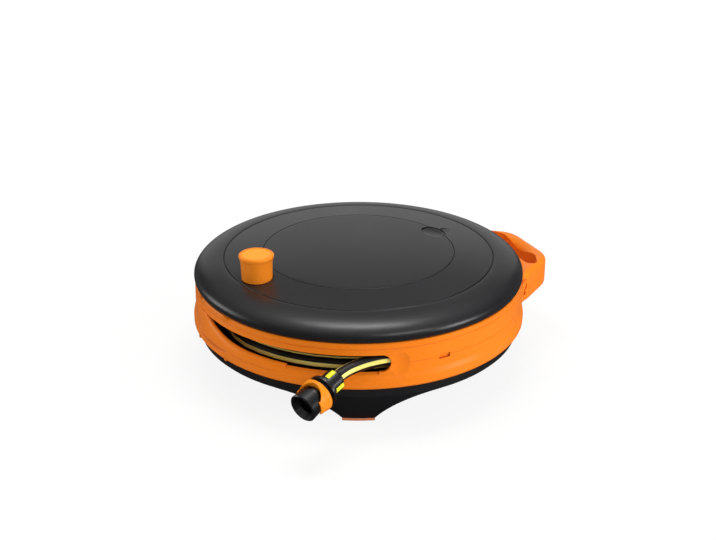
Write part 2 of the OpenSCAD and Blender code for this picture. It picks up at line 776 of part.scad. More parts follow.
// Wall behind the funnel, so that the scoop has a floor
module funnel_wall(z0, z1)
    ring_slice(shell_in_r - 6.5, z1 < seam_z ? rim_in_r + 1 : shell_in_r + 1, z0, z1, window_left - 14, 40);

// Pockets of the spring clips along the seam and on the handle's flanks
module clip_pockets() {
    for (turn = [-85.5, 50, 86, 120, 150])
        at(turn, shell_r - clip_pocket_d, seam_z)
            translate([0, -clip_pocket_w / 2, -clip_pocket_h / 2]) cube([12, clip_pocket_w, clip_pocket_h]);
    for (flip = [0, 1]) mirror([0, flip, 0])
        translate(concat(on_flank(flank_c - clip_pocket_d, flank_pocket_at), [seam_z + 2]))
            rotate([0, 0, handle_spread - 90]) rotate([90, 0, 90]) linear_extrude(20) polygon(flank_pocket);
}

// Small lugs on the rims, left of the window
module lugs(r, z)
    for (turn = [178, -162.5])
        at(turn, r - 2, z) translate([0, -2.5, 0]) cube([2.8, 5, 3.5]);

module handle_screw_places()
    for (side = [-1, 1])
        translate([handle_screw_at[0], side * handle_screw_at[1], 0]) children();

module lower_shell()
    color(orange) difference() {
        union() {
            difference() {
                union() {
                    lower_wall();
                    funnel_wall(rim_z - 13, seam_z - 0.15);
                }
                window_cut();
            }
            ring(bush_r, bush_r + boss_wall, bush_z, bush_seat);
            lugs(rim_r, housing_z + 1);
            handle_half_block(handle_z0);
        }
        clip_pockets();
        handle_screw_places() {
            translate([0, 0, handle_z0 - 1]) cylinder(r = head_r + 0.5, h = 1 + 2 * head_h);
            translate([0, 0, handle_z0]) screw_hole(handle_h);
        }
        translate([0, 0, bush_z - 1]) cylinder(r = bush_r + seat_fit, h = bush_seat - bush_z + 2);
    }

module upper_shell()
    color(orange) difference() {
        union() {
            difference() {
                union() {
                    upper_wall();
                    funnel_wall(seam_z + 0.15, inner_ledge_z + 1);
                }
                window_cut();
            }
            lugs(shell_r - 0.5, housing_top - 4.5);
            handle_half_block(handle_z1);
        }
        clip_pockets();
        handle_screw_places() translate([0, 0, seam_z - 1]) screw_hole(14);
    }

module housing_screws()
    color(zinc) handle_screw_places()
        translate([0, 0, handle_z0 + 2 * head_h]) screw(seam_z + 12 - handle_z0 - 2 * head_h);

module swivel_bush()
    color(pale_plastic) difference() {
        union() {
            translate([0, 0, bush_z]) cylinder(r = bush_r, h = bush_seat - bush_z + bush_flange_t);
            translate([0, 0, bush_seat]) cylinder(r = bush_r + bush_flange_w, h = bush_flange_t);
        }
        translate([0, 0, bush_z - 1])
            cylinder(r = spindle_r + run_fit, h = bush_seat - bush_z + bush_flange_t + 2);
    }

// Post on the housing's floor that holds the hose's free stretch against the wall
module hose_guide()
    color(near_black) union() {
        ring_slice(wind_out_r + free_gap, shell_in_r - 0.2, housing_floor + 12,
            sill_z + window_h, guide_turn, guide_w);
        ring_slice(wind_out_r + free_gap + 3, shell_in_r - 0.2, housing_floor,
            housing_floor + 13, guide_turn, guide_w);
    }

// Drum and lid

module drum_hub()
    color(dark_grey) difference() {
        union() {
            ring(hub_r - hub_wall, hub_r, flange_top, hub_top);
            ring(hub_r - hub_wall - 12, hub_r, flange_top, flange_top + 3);
            translate([0, 0, well_floor]) cylinder(r = hub_r - 1, h = well_floor_t);
            ring(hub_r - 1, hub_r + 21, hub_top - 3, hub_top);
            around(4, 45) translate([coupling_bolt_r, 0, coupling_top])
                cylinder(r = boss_r, h = well_floor - coupling_top + 1);
        }
        around(4, 45) translate([coupling_bolt_r, 0, coupling_top - 1])
            screw_hole(well_floor - coupling_top + well_floor_t);
        around(6) translate([hub_r - hub_wall - 6, 0, flange_top - 1]) screw_hole(6);
        around(6, 30) translate([hub_r + 11, 0, hub_top - 4]) screw_hole(6);
        at(lead_turn, hub_r - hub_wall - 4, water_z)
            rotate([0, 90, 0]) cylinder(r = hose_d / 2 + seat_fit, h = hub_wall + 8);
    }

module drum_flange()
    color(dark_grey) difference() {
        ring(hub_r - hub_wall - 12, wind_out_r + 0.5, flange_z, flange_top);
        around(6) translate([hub_r - hub_wall - 6, 0, flange_z - 1]) {
            cylinder(r = head_r + 0.3, h = 1 + flange_t / 2);
            screw_hole(flange_t + 2);
        }
    }

module flange_screws()
    color(zinc) around(6) translate([hub_r - hub_wall - 6, 0, flange_z + flange_t / 2])
        screw(flange_t / 2 + 3);

// Height of the lid's sloping top at a distance from the axis
function slope_z(r) = cover_z + (crease_z - cover_z) * (r - cover_r) / (crease_r - cover_r);

// Outline of the lid's rounded edge, drawn in by its wall
function edge_line(inset) = [for (i = [1 : rise_steps])
    [crease_r + (lid_r - inset - crease_r) * sin(i * 90 / rise_steps),
     waist_z + (crease_z - inset - waist_z) * cos(i * 90 / rise_steps)]];
function tuck_line(inset) = [for (i = [1 : 6])
    [lid_r - inset - tuck * (1 - cos(i * 15)), waist_z - waist_h * sin(i * 15)]];
function backwards(v) = [for (i = [len(v) - 1 : -1 : 0]) v[i]];

module lid_skin() {
    rim = cover_r + cover_gap;
    rotate_extrude() polygon(concat(
        [[hub_r - 2, hub_top], [hub_r - 2, seat_z], [rim, seat_z], [rim, cover_z],
         [crease_r - line_w / 2, slope_z(crease_r - line_w / 2)],
         [crease_r - line_w / 2, crease_z - line_d], [crease_r + line_w / 2, crease_z - line_d]],
        edge_line(0), tuck_line(0), backwards(tuck_line(lid_t)), backwards(edge_line(lid_t)),
        [[crease_r, crease_z - lid_t], [rim + lid_t, slope_z(rim + lid_t) - lid_t],
         [rim + lid_t, hub_top]]));
}

// Spherical hollows that make the finger dish, long across the reach
module finger_dish()
    for (side = [-1, 0, 1])
        at(dish_turn, dish_reach, cover_z + dish_ball - dish_depth)
            translate([0, side * dish_step, 0]) sphere(r = dish_ball);

// The knob's pocket, sunk into the sloping top, and the boss round it
module knob_place() at(knob_turn, knob_reach, 0) children();

module lid()
    color(near_black) difference() {
        union() {
            lid_skin();
            intersection() {
                knob_place() translate([0, 0, knob_boss_z])
                    cylinder(r = knob_r + pocket_gap + knob_boss_w, h = cover_z - knob_boss_z);
                rotate_extrude() polygon([
                    [cover_r + cover_gap, knob_boss_z], [crease_r - line_w / 2, knob_boss_z],
                    [crease_r - line_w / 2, slope_z(crease_r)], [cover_r + cover_gap, cover_z]]);
            }
        }
        knob_place() {
            translate([0, 0, knob_z - face_gap]) cylinder(r = knob_r + pocket_gap, h = cover_h);
            translate([0, 0, knob_boss_z - 1]) cylinder(r = axle_r + seat_fit, h = cover_h);
            translate([0, 0, knob_boss_z - 1]) cylinder(r = axle_r + 5 + seat_fit, h = axle_flange_t + 1);
        }
        finger_dish();
        at(dish_turn, dish_reach, cover_z - 1.2) linear_extrude(5)
            polygon([[14, 7], [14 + arrow_l, 1], [14 + arrow_l, -1], [14, -7]]);
        around(6, 30) translate([hub_r + 11, 0, hub_top - 1]) screw_hole(lid_t + 2);
        around(6, 30) translate([hub_r + 11, 0, seat_z - lid_t / 2])
            cylinder(r = head_r + 0.3, h = lid_t + 2);
    }

module lid_screws()
    color(zinc) around(6, 30) translate([hub_r + 11, 0, seat_z - lid_t / 2]) mirror([0, 0, 1])
        difference() {
            rotate_extrude() polygon([
                [0, -lid_t / 2], [head_r, -lid_t / 2], [head_r, 0], [screw_r, 0],
                [screw_r, lid_t / 2 + 3], [0, lid_t / 2 + 3]]);
            translate([0, 0, -lid_t / 2 - 1]) cylinder(r = head_r * 0.45, h = 1.8, $fn = 6);
        }

module rotary_coupling()
    color(pale_plastic) difference() {
        union() {
            translate([0, 0, coupling_z]) cylinder(r = coupling_r, h = coupling_h);
            translate([0, 0, coupling_top - coupling_flange_t])
                cylinder(r = coupling_flange_r, h = coupling_flange_t);
            at(lead_turn, 0, water_z) rotate([0, 90, 0]) cylinder(r = 11, h = coupling_r + 6);
        }
        translate([0, 0, coupling_z - 1]) cylinder(r = spindle_r + run_fit, h = coupling_h + 2);
        ring(spindle_r - 1, spindle_r + chamber_w, water_z - chamber_h / 2, water_z + chamber_h / 2);
        at(lead_turn, spindle_r + chamber_w - 1, water_z) rotate([0, 90, 0]) cylinder(r = 4.8, h = 20);
        at(lead_turn, coupling_r - 2, water_z)
            rotate([0, 90, 0]) cylinder(r = lead_bore + seat_fit, h = 12);
        around(4, 45) translate([coupling_bolt_r, 0, coupling_top - coupling_flange_t - 1])
            screw_hole(coupling_flange_t + 2);
    }

module coupling_screws()
    color(zinc) around(4, 45) translate([coupling_bolt_r, 0, coupling_top - coupling_flange_t])
        screw(coupling_flange_t + well_floor - coupling_top + 1.5);

// Straight pipe from the coupling into the hose's inner end, with a shoulder
module outlet_pipe()
    color(brass) at(lead_turn, coupling_r - 2, water_z) rotate([0, 90, 0]) difference() {
        union() {
            cylinder(r = lead_bore, h = lead_start + 22 - coupling_r);
            translate([0, 0, lead_start - coupling_r - 2]) cylinder(r = 8.5, h = 4);
        }
        translate([0, 0, -1]) cylinder(r = 4.8, h = lead_start + 24);
    }

// The hose's inner end, from the pipe's shoulder through the hub's wall
module hose_lead()
    color(near_black) at(lead_turn, lead_start, water_z) rotate([0, 90, 0]) difference() {
        cylinder(r = hose_d / 2, h = hub_r - 0.2 - lead_start);
        translate([0, 0, -1]) cylinder(r = lead_bore + seat_fit, h = hub_r);
    }

module hose_clamp()
    color(zinc) at(lead_turn, lead_start + 6, water_z) rotate([0, 90, 0]) difference() {
        union() {
            cylinder(r = hose_d / 2 + 1.2, h = 9);
            translate([-hose_d / 2 - 5, -3, 0]) cube([6, 6, 9]);
        }
        translate([0, 0, -1]) cylinder(r = hose_d / 2 + seat_fit, h = 11);
    }

// Hose on the drum

// Direction and height of ring i of the winding's outer layer
function turn_at(i) = wind_start + i * 360 / wind_rings;
function wind_center(i) =
    [wind_r * cos(turn_at(i)), wind_r * sin(turn_at(i)), wind_z0 + i * wind_pitch / wind_rings];
function forward(turn) = [-sin(turn), cos(turn), 0];

// Centres and headings, with one straight diameter at each end
wind_centers = concat(
    [wind_center(0) - hose_d * forward(turn_at(0))],
    [for (i = [0 : wind_steps]) wind_center(i)],
    [wind_center(wind_steps) + hose_d * forward(turn_at(wind_steps))]);
wind_headings = concat(
    [forward(turn_at(0))],
    [for (i = [0 : wind_steps]) forward(turn_at(i))],
    [forward(turn_at(wind_steps))]);

// Least gap between turns: centres half a turn or more apart, less the hose's own width
wind_least_gap = min([for (i = [0 : len(wind_centers) - 1], j = [i + wind_rings / 2 : 1 : len(wind_centers) - 1])
    norm(wind_centers[i] - wind_centers[j])]) - hose_d;
echo(str("hose winding: ", wind_steps / wind_rings, " turns, least gap ", wind_least_gap, " mm"));

module hose_winding()
    color(near_black) tube(wind_centers, wind_headings, hose_d / 2, wind_sides);

// Wedge where the hose climbs from the layer below, with a face square to the tube's end
module riser(center, turn, way)
    translate(center) rotate([0, 0, turn]) mirror([0, way, 0])
        translate([0, hose_d, -riser_h / 2]) linear_extrude(riser_h)
            polygon([[-14, 0], [hose_d / 2 - 1, 0], [-riser_l / 4, riser_l], [-riser_l / 2, riser_l]]);

module hose_core()
    color(near_black) union() {
        ring(hub_r + core_gap, core_r, flange_top + core_gap, wind_z1 + hose_d / 2);
        riser(wind_center(0), turn_at(0), 1);
        riser(wind_center(wind_steps), turn_at(wind_steps), 0);
    }

// Knob

module knob_axle()
    color(zinc) knob_place() difference() {
        union() {
            translate([0, 0, knob_boss_z]) cylinder(r = axle_r + 5, h = axle_flange_t);
            translate([0, 0, knob_boss_z]) cylinder(r = axle_r, h = axle_top + face_gap - knob_boss_z);
        }
        translate([0, 0, axle_top - axle_thread]) screw_hole(axle_thread + 2);
    }

module knob_screw()
    color(zinc) knob_place() translate([0, 0, axle_top + face_gap]) difference() {
        rotate_extrude() polygon([
            [0, 2 - axle_thread], [screw_r, 2 - axle_thread], [screw_r, 0], [axle_r + 4, 0], [axle_r + 4, 1],
            [head_r, 1], [head_r, 1 + head_h], [0, 1 + head_h]]);
        translate([0, 0, head_h * 0.5 + 1]) cylinder(r = head_r * 0.45, h = head_h, $fn = 6);
    }

module knob()
    color(orange) knob_place() difference() {
        rotate_extrude() polygon([
            [0, knob_z], [knob_r - 0.5, knob_z], [knob_r, knob_z + 0.6],
            [knob_r + 0.6, knob_z + knob_h * 0.6], [knob_lip_r - 1.6, knob_z + knob_h - 8],
            [knob_lip_r - 0.4, knob_z + knob_h - 5], [knob_lip_r, knob_z + knob_h - 3],
            [knob_lip_r - 0.5, knob_z + knob_h - 1], [knob_lip_r - 1.6, knob_z + knob_h - 0.2],
            [knob_lip_r - 2.6, knob_z + knob_h], [0, knob_z + knob_h]]);
        ring(axle_r + 4, knob_r - 3, knob_z - 1, axle_top - 6);
        translate([0, 0, knob_z - 1]) cylinder(r = axle_r + run_fit, h = knob_h);
        translate([0, 0, axle_top]) cylinder(r = axle_r + 5, h = knob_h);
        translate([0, 0, knob_z + knob_h - cap_t - 0.6]) cylinder(r = knob_lip_r - 3.9, h = cap_t + 2);
    }

module knob_cap()
    color([1, 0.62, 0.28]) knob_place() union() {
        translate([0, 0, knob_z + knob_h - cap_t - 0.6]) cylinder(r = knob_lip_r - 4, h = cap_t);
        translate([0, 0, knob_z + knob_h - cap_t - 2])
            ring(axle_r + 3, axle_r + 5 - seat_fit, 0, 2);
    }

module hub_cover()
    color(near_black) difference() {
        union() {
            rotate_extrude() polygon(concat(
                [[0, seat_z + face_gap]], [[cover_r, seat_z + face_gap]],
                [for (i = [rise_steps : -1 : 0])
                    [cover_r * i / rise_steps,
                     cover_z + cover_crown * (1 - pow(i / rise_steps, 2))]]));
            ring(hub_r - hub_wall - 2.7, hub_r - hub_wall - 0.7, seat_z - 10, seat_z + face_gap + 1);
        }
        finger_dish();
    }

// The free stretch of hose and the connector on its end

// Heading of the connector, from the hose to its mouth
function hose_heading() =
    [cos(connector_turn) * cos(connector_dip), sin(connector_turn) * cos(connector_dip), -sin(connector_dip)];
module on_hose_end() translate(hose_end) rotate([0, 90 + connector_dip, connector_turn]) children();

route_start = [free_r * cos(guide_turn), free_r * sin(guide_turn), hose_route[0][2]];
route = concat([route_start, route_start - hose_d / 2 * forward(guide_turn)], hose_route,
    [hose_end - hose_d / 2 * hose_heading(), hose_end + tail_gap * hose_heading()]);
route_headings = [for (i = [0 : len(route) - 1])
    i < 2 ? -forward(guide_turn) :
    i > len(route) - 3 ? hose_heading() :
    unit(unit(route[i + 1] - route[i]) + unit(route[i] - route[i - 1]))];

module free_hose()
    color(near_black) tube(route, route_headings, hose_d / 2, hose_sides);

module connector_nut()
    color(near_black) on_hose_end() difference() {
        rotate_extrude() polygon([[0, 0], [nut_r - 2, 0], [nut_r, 3], [nut_r, nut_l], [0, nut_l]]);
        translate([0, 0, -1]) cylinder(r = hose_d / 2 + 0.2, h = tail_gap + 1);
        translate([0, 0, tail_gap]) cylinder(r = nut_r - nut_wall, h = nut_l);
        grip_strips(nut_r - 1.2 - seat_fit, nut_r + 2, seat_fit);
    }

// Raised strips let into the nut for a better hold
module grip_strips(r_in, r_out, clear)
    around(4, grip_turn) intersection() {
        ring(r_in, r_out, strip_at - clear, strip_at + strip_l + clear);
        translate([0, -strip_w / 2 - clear, 0]) cube([nut_r + 4, strip_w + 2 * clear, nut_l]);
    }

module connector_grips()
    color(yellow) on_hose_end() grip_strips(nut_r - 1.2, nut_r + 0.9, 0);

module connector_body()
    color(near_black) on_hose_end() difference() {
        rotate_extrude() polygon([
            [0, tail_gap], [lead_bore, tail_gap], [lead_bore, nut_l], [mouth_r - 4, nut_l],
            [mouth_r - 4, rib_at], [mouth_r + 1.5, rib_at], [mouth_r + 1.5, rib_at + 4],
            [mouth_r - 4, rib_at + 4], [mouth_r - 4, collar_at + collar_l - 6],
            [mouth_r - 1.5, collar_at + collar_l - 6], [mouth_r, connector_l - 1],
            [mouth_r - 1, connector_l], [0, connector_l]]);
        translate([0, 0, tail_gap - 1]) cylinder(r = 4.8, h = connector_l);
        translate([0, 0, connector_l - 30]) cylinder(r = socket_r, h = 40);
        translate([0, 0, connector_l - 14]) cylinder(r = mouth_r - 7.5, h = 20);
        translate([0, 0, connector_l - flare_l])
            cylinder(r1 = mouth_r - 7.5, r2 = mouth_r - 2.6, h = flare_l + 0.5);
        ring(socket_r - 1, socket_r + 1.8, connector_l - 28, connector_l - 25.4);
    }

module connector_seal()
    color(rubber) on_hose_end() translate([0, 0, connector_l - 26.7])
        rotate_extrude() translate([socket_r + 0.7, 0]) circle(r = 1);

// Slotted ring that grips the hose's tail inside the nut
module hose_gripper()
    color(pale_plastic) on_hose_end() difference() {
        ring(lead_bore + seat_fit, nut_r - nut_wall - seat_fit, tail_gap + 0.3, nut_l);
        around(6) translate([lead_bore, -0.6, tail_gap + 2]) cube([nut_r, 1.2, nut_l]);
    }

// Release collar: a bell with a waist, a scalloped front and a raised rear edge
module connector_collar()
    color(orange) on_hose_end() translate([0, 0, collar_at]) difference() {
        rotate_extrude() polygon([
            [mouth_r - 4 + 0.3, 0], [collar_r - 0.8, 0], [collar_r, 1], [collar_r, 4],
            [collar_r - 1, 9], [max(collar_r - 2, mouth_r + 1.4), collar_l - 2],
            [max(collar_r - 2.6, mouth_r + 0.9), collar_l],
            [mouth_r - 0.4, collar_l], [mouth_r - 0.4, 6], [mouth_r - 4 + 0.3, 6]]);
        around(2, grip_turn) translate([mouth_r / 2, 0, scallop_at + scallop_r]) rotate([0, 90, 0])
            cylinder(r = scallop_r, h = collar_r);
    }

on_axis() base_shell();
on_axis() foot_pads();
on_axis() pad_screws();
on_axis() glide_ring();
on_axis() spindle();
on_axis() spindle_screws();
on_axis() spindle_seals();
on_axis() spindle_clips();
on_axis() thrust_washer();
on_axis() inlet_elbow();
on_axis() inlet_pipe();
on_axis() tap_nipple();
on_axis() nipple_seal();
on_axis() lower_shell();
on_axis() upper_shell();
on_axis() housing_screws();
on_axis() swivel_bush();
on_axis() hose_guide();
on_axis() drum_hub();
on_axis() drum_flange();
on_axis() flange_screws();
on_axis() lid();
on_axis() lid_screws();
on_axis() rotary_coupling();
on_axis() coupling_screws();
on_axis() outlet_pipe();
on_axis() hose_lead();
on_axis() hose_clamp();
on_axis() hose_core();
on_axis() hose_winding();
on_axis() knob_axle();
on_axis() knob_screw();
on_axis() knob();
on_axis() knob_cap();
on_axis() hub_cover();
on_axis() free_hose();
on_axis() connector_nut();
on_axis() connector_grips();
on_axis() connector_body();
on_axis() connector_seal();
on_axis() hose_gripper();
on_axis() connector_collar();
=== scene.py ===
import math

import bmesh
import bpy
from mathutils import Matrix, Vector


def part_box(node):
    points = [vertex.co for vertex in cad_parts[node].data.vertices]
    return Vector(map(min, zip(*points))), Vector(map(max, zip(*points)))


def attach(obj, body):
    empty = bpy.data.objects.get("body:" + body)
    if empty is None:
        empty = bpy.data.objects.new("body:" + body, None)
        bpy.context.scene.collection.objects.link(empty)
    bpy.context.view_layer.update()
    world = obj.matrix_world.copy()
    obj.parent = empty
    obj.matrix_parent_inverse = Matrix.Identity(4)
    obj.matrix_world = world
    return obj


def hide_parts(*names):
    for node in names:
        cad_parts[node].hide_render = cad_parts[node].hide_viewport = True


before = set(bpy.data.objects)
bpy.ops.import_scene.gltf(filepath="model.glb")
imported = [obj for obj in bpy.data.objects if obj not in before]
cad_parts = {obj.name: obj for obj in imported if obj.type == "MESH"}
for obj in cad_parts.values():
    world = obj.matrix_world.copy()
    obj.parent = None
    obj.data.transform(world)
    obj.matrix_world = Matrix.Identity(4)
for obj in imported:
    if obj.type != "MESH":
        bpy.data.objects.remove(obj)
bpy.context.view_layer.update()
mm = 0.001
axisX = -26.6 * mm  # the drum's axis
print("frame loaded")


# Places and directions

def onAxis(p):  # a point in millimetres, measured from the drum's axis, in the frame's metres
    return Vector((p[0] * mm + axisX, p[1] * mm, p[2] * mm))


def around(radius, turn, height):  # the same, from a distance, an angle in degrees and a height
    t = math.radians(turn)
    return onAxis((radius * math.cos(t), radius * math.sin(t), height))


def pointing(turn, rise):  # a direction, from its angle seen from above and its angle upwards
    t, e = math.radians(turn), math.radians(rise)
    return Vector((math.cos(t) * math.cos(e), math.sin(t) * math.cos(e), math.sin(e)))


def linked(name, data):
    made = bpy.data.objects.new(name, data)
    bpy.context.scene.collection.objects.link(made)
    return made


def aimed(thing, place, target):
    thing.location = place
    thing.rotation_euler = (Vector(target) - Vector(place)).to_track_quat("-Z", "Y").to_euler()


# Camera

view = {
    "azimuth": -24.0, "elevation": 23.77, "distance": 1.8046, "aimHeight": 0.140,
    "sensor": 36, "lens": 60.34, "shift": -0.0007, "clipEnd": 50,
}


def makeCamera():
    camera = linked("camera", bpy.data.cameras.new("camera"))
    camera.data.sensor_width = view["sensor"]
    camera.data.lens = view["lens"]
    camera.data.shift_x = view["shift"]
    camera.data.clip_end = view["clipEnd"]
    target = Vector((axisX, 0, view["aimHeight"]))
    back = pointing(view["azimuth"] - 90, view["elevation"])
    aimed(camera, target + back * view["distance"], target)
    bpy.context.scene.camera = camera


makeCamera()
print("camera ready")


# Shader maths as plain arithmetic

class Signal:  # one output of a finish's shader tree
    def __init__(self, finish, socket):
        self.finish, self.socket = finish, socket

    def math(self, operation, *values):
        return self.finish.node("Math", {"operation": operation}, dict(enumerate(values)))

    def __add__(self, other):
        return self.math("ADD", self, other)

    def __sub__(self, other):
        return self.math("SUBTRACT", self, other)

    def __rsub__(self, other):
        return self.math("SUBTRACT", other, self)

    def __mul__(self, other):
        return self.math("MULTIPLY", self, other)

    __radd__, __rmul__ = __add__, __mul__


class Finish:  # the shader tree of a material or a world, made node by node
    def __init__(self, owner):
        owner.use_nodes = True
        self.owner, self.tree = owner, owner.node_tree
        self.tree.nodes.clear()

    def node(self, kind, settings=None, values=None, out=0):
        made = self.tree.nodes.new("ShaderNode" + kind)
        for key, value in (settings or {}).items():
            setattr(made, key, value)
        for where, value in (values or {}).items():
            if isinstance(value, Signal):
                self.tree.links.new(value.socket, made.inputs[where])
            else:
                made.inputs[where].default_value = value
        return Signal(self, made.outputs[out]) if len(made.outputs) else made

    def place(self):
        return self.node("TexCoord", out="Object")

    def noise(self, scale, detail=2, roughness=0.5):
        values = {"Vector": self.place(), "Scale": scale, "Detail": detail, "Roughness": roughness}
        return self.node("TexNoise", {}, values)

    def between(self, signal, low, high, to=(0.0, 1.0)):
        return self.node("MapRange", {"clamp": True}, {0: signal, 1: low, 2: high, 3: to[0], 4: to[1]})

    def mixed(self, factor, one, two):
        return self.node("Mix", {"data_type": "RGBA"}, {0: factor, 6: one, 7: two}, out=2)

    def bump(self, height, strength, distance, normal=None):
        values = {"Height": height, "Strength": strength, "Distance": distance}
        if normal:
            values["Normal"] = normal
        return self.node("Bump", {}, values)

    def crevice(self, reach):  # ambient occlusion: 1 in the open, towards 0 in grooves and deep pockets, the mask for painted shade
        settings = {"samples": 6, "only_local": True}
        return self.node("AmbientOcclusion", settings, {"Distance": reach}, out="AO")

    def surface(self, values):
        self.node("OutputMaterial", {}, {0: self.node("BsdfPrincipled", {}, values)})
        return self.owner


def rgb(r, g, b):  # a screen colour as the shader's own numbers
    line = [c / 255 for c in (r, g, b)]
    return (*[c / 12.92 if c <= 0.04045 else ((c + 0.055) / 1.055) ** 2.4 for c in line], 1.0)


def scaled(colour, factor):
    return (*[min(1.0, c * factor) for c in colour[:3]], 1.0)


moulded = {  # what a moulded plastic has where its finish says nothing else
    "roughness": 0.45, "duller": 0.04, "glossier": 0.03, "specular": 0.3, "tint": (1, 1, 1, 1),
    "grain": 0.05, "grainScale": 2600, "grainHeight": 0.2 * mm, "grainRough": 0.05,
    "wave": 0.03, "waveScale": 60, "waveHeight": 0.4 * mm,
    "drift": 0.06, "driftScale": 9, "fleck": 0.3, "fleckTone": 0.9, "fleckScale": 420, "edge": 0.7 * mm,
    # painted shade: a darker colour mixed into the base colour where ambient occlusion finds grooves and
    # pockets
    "deep": None, "deepReach": 6 * mm, "deepest": 0.35, "shallow": 0.92, "deepRough": 0.1,
}


def mouldedPlastic(name, colour, **changes):
    w = {**moulded, **changes}
    f = Finish(bpy.data.materials.new(name))
    cloud = f.noise(w["driftScale"], 3, 0.55)
    fleck = f.noise(w["fleckScale"], 2, 0.6)
    fine = f.noise(w["grainScale"], 2, 0.6)
    tint = f.mixed(f.between(cloud, 0.3, 0.7), scaled(colour, 1 - w["drift"]), scaled(colour, 1 + w["drift"]))
    tint = f.mixed(f.between(fleck, 0.45, 0.8) * w["fleck"], tint, scaled(colour, w["fleckTone"]))
    dull = f.between(cloud, 0.25, 0.75, (w["roughness"] - w["glossier"], w["roughness"] + w["duller"]))
    dull = dull + (fine - 0.5) * w["grainRough"]
    # painted shade: the base colour darkens towards a set colour in grooves, pockets and hollows, following
    # ambient occlusion, and those places are made rougher too
    if w["deep"]:
        shade = f.between(f.crevice(w["deepReach"]), w["deepest"], w["shallow"])
        tint = f.mixed(shade, w["deep"], tint)
        dull = dull + (1.0 - shade) * w["deepRough"]
    rounded = f.node("Bevel", {"samples": 4}, {"Radius": w["edge"]}) if w["edge"] else None
    waved = f.bump(f.noise(w["waveScale"], 2), w["wave"], w["waveHeight"], rounded)
    return f.surface({
        "Base Color": tint, "Roughness": dull,
        "Specular IOR Level": w["specular"], "Specular Tint": w["tint"],
        "Normal": f.bump(fine, w["grain"], w["grainHeight"], waved),
    })


metalWear = {
    "cloudScale": 70, "stain": 0.82, "duller": 0.16,
    "grain": 0.08, "grainScale": 1900, "grainHeight": 0.1 * mm,
}


def metal(name, colour, roughness):
    w = metalWear
    f = Finish(bpy.data.materials.new(name))
    cloud = f.noise(w["cloudScale"], 4, 0.6)
    fine = f.noise(w["grainScale"], 2, 0.6)
    tint = f.mixed(f.between(cloud, 0.35, 0.7), scaled(colour, w["stain"]), colour)
    dull = f.between(cloud, 0.3, 0.7, (roughness, roughness + w["duller"]))
    return f.surface({
        "Base Color": tint, "Metallic": 1.0, "Roughness": dull,
        "Normal": f.bump(fine, w["grain"], w["grainHeight"]),
    })


warmShine = (1.0, 0.72, 0.45, 1)  # the tint of the orange plastics' gloss
finishes = {
    "housing_plastic": mouldedPlastic(
        "housing orange", rgb(252, 132, 28), roughness=0.34, specular=0.2, tint=warmShine, drift=0.04,
        # painted shade: deep red-orange in the housing's grooves, pockets, hand hole and window wedge
        edge=0.9 * mm, deep=rgb(170, 38, 2), deepReach=5 * mm, deepest=0.2, shallow=0.9),
    "lid_plastic": mouldedPlastic(
        "lid charcoal", rgb(29, 29, 31), roughness=0.32, specular=0.38, grain=0.09, edge=0,
        # painted shade: near-black in the lid's grooves, the hub line and the crease
        deep=rgb(7, 7, 8), deepReach=7 * mm, deepest=0.35),
    "base_plastic": mouldedPlastic("base black", rgb(30, 30, 32), roughness=0.55, specular=0.12, grain=0.12),
    "drum_plastic": mouldedPlastic("drum grey", rgb(34, 34, 36), roughness=0.5, grain=0.1),
    "bearing_plastic": mouldedPlastic("bearing white", rgb(214, 213, 205), roughness=0.36, drift=0.03),
    "pad_plastic": mouldedPlastic("pad rust", rgb(226, 138, 92), roughness=0.6, grain=0.15),
    "knob_plastic": mouldedPlastic(
        "knob orange", rgb(255, 142, 36), roughness=0.38, specular=0.18, tint=warmShine, drift=0.03),
    "knob_cap_plastic": mouldedPlastic(
        "cap orange", rgb(253, 168, 50), roughness=0.36, specular=0.14, tint=warmShine, drift=0.03),
    "connector_black": mouldedPlastic(
        "fitting black", rgb(15, 15, 17), roughness=0.3, specular=0.45, grain=0.03,
        # painted shade: near-black deep inside the fitting's mouth and bore
        deep=rgb(3, 3, 3), deepReach=14 * mm, deepest=0.45, deepRough=0.5),
    "connector_orange": mouldedPlastic(
        "fitting orange", rgb(255, 146, 30), roughness=0.36, specular=0.25, tint=warmShine,
        # painted shade: darker orange in the collar's hollows and notch
        deep=rgb(200, 70, 6), deepReach=5 * mm),
    "connector_yellow": mouldedPlastic("grip yellow", rgb(246, 242, 50), roughness=0.5, grain=0.12),
    "seal_rubber": mouldedPlastic("seal rubber", rgb(22, 22, 22), roughness=0.62, grain=0.1),
    "screw_steel": metal("zinc plate", rgb(196, 198, 204), 0.28),
    "brass": metal("brass", rgb(212, 176, 104), 0.26),
}

skin = {  # the hose's black skin and its long yellow stripes
    "stripes": 3.0, "stripeEdge": (0.150, 0.172), "black": (rgb(20, 20, 20), rgb(29, 28, 27)),
    "yellow": (rgb(250, 236, 118), rgb(255, 244, 140)), "roughness": (0.36, 0.48), "specular": 0.3,
    "cloudScale": 40, "grain": 0.08, "grainScale": 1500, "grainHeight": 0.3 * mm,
}


